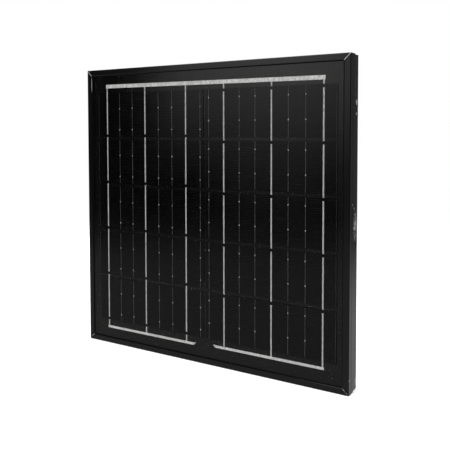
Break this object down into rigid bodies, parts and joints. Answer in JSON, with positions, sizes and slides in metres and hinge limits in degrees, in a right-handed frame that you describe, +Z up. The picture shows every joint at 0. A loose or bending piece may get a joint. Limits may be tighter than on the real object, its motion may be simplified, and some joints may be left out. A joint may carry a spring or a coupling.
{
  "type": "solar panel",
  "caption": "Square framed solar panel with black mitred frame, dark cells joined by bright ribbons under glass, slotted rear flange and a lidded junction box behind.",
  "frame": {"origin": "middle of the panel's width and depth, at the underside of the bottom rail", "axes": "+Z up the panel, +X to the viewer's right when facing the glass, +Y from the glass towards the back"},
  "size_m": [0.35, 0.025, 0.35],
  "materials": {
    "black_frame": "black anodised aluminium extrusion, satin, faint long die lines, bare metal at the mitre edges",
    "key_casting": "die-cast aluminium, as cast",
    "sealant": "black silicone sealant, dull",
    "cover_glass": "low-iron tempered glass, smooth front",
    "encapsulant": "clear laminating film, cured",
    "cell_silicon": "black single-crystal silicon wafer with an anti-reflection coat and fine printed silver lines",
    "tinned_ribbon": "tinned copper ribbon, bright, uneven where it was soldered",
    "insulator_film": "black insulating film",
    "backsheet_film": "black polymer backsheet, fine matt grain",
    "box_plastic": "black moulded plastic, spark-eroded matt texture",
    "gland_plastic": "black moulded nylon",
    "seal_rubber": "dark rubber",
    "pin_steel": "stainless steel pin",
    "terminal_brass": "plated brass strip",
    "screw_steel": "zinc-plated steel screw",
    "diode_epoxy": "black moulded diode with tinned wires"
  },
  "bodies": {
    "panel": {"backsheet": "backsheet_film", "bus_ribbon_bottom_left": "tinned_ribbon", "bus_ribbon_bottom_right": "tinned_ribbon", "bus_ribbon_top": "tinned_ribbon", "bypass_diode": "diode_epoxy", "cell_left_1": "cell_silicon", "cell_left_2": "cell_silicon", "cell_left_3": "cell_silicon", "cell_left_4": "cell_silicon", "cell_left_5": "cell_silicon", "cell_right_1": "cell_silicon", "cell_right_2": "cell_silicon", "cell_right_3": "cell_silicon", "cell_right_4": "cell_silicon", "cell_right_5": "cell_silicon", "corner_key_bottom_left": "key_casting", "corner_key_bottom_right": "key_casting", "corner_key_top_left": "key_casting", "corner_key_top_right": "key_casting", "cover_glass": "cover_glass", "edge_seal_bottom": "sealant", "edge_seal_left": "sealant", "edge_seal_right": "sealant", "edge_seal_top": "sealant", "front_encapsulant": "encapsulant", "gland_body": "gland_plastic", "gland_nut": "gland_plastic", "gland_seal": "seal_rubber", "jbox_adhesive": "sealant", "jbox_base": "box_plastic", "jbox_hinge_pins": "pin_steel", "jbox_lid_seal": "seal_rubber", "lead_insulator": "insulator_film", "rail_bottom": "black_frame", "rail_left": "black_frame", "rail_right": "black_frame", "rail_top": "black_frame", "rear_encapsulant": "encapsulant", "tab_ribbons_left_1": "tinned_ribbon", "tab_ribbons_left_2": "tinned_ribbon", "tab_ribbons_left_3": "tinned_ribbon", "tab_ribbons_left_4": "tinned_ribbon", "tab_ribbons_left_5": "tinned_ribbon", "tab_ribbons_left_6": "tinned_ribbon", "tab_ribbons_right_1": "tinned_ribbon", "tab_ribbons_right_2": "tinned_ribbon", "tab_ribbons_right_3": "tinned_ribbon", "tab_ribbons_right_4": "tinned_ribbon", "tab_ribbons_right_5": "tinned_ribbon", "tab_ribbons_right_6": "tinned_ribbon", "terminal_left": "terminal_brass", "terminal_right": "terminal_brass", "terminal_screws": "screw_steel"},
    "lid": {"jbox_lid": "box_plastic"}
  },
  "joints": [
    {"name": "lid_hinge", "type": "hinge", "parent": "panel", "child": "lid", "pos_m": [0, 0.0079, 0.1332], "axis": [1, 0, 0], "range_deg": [0, 110]}
  ]
}
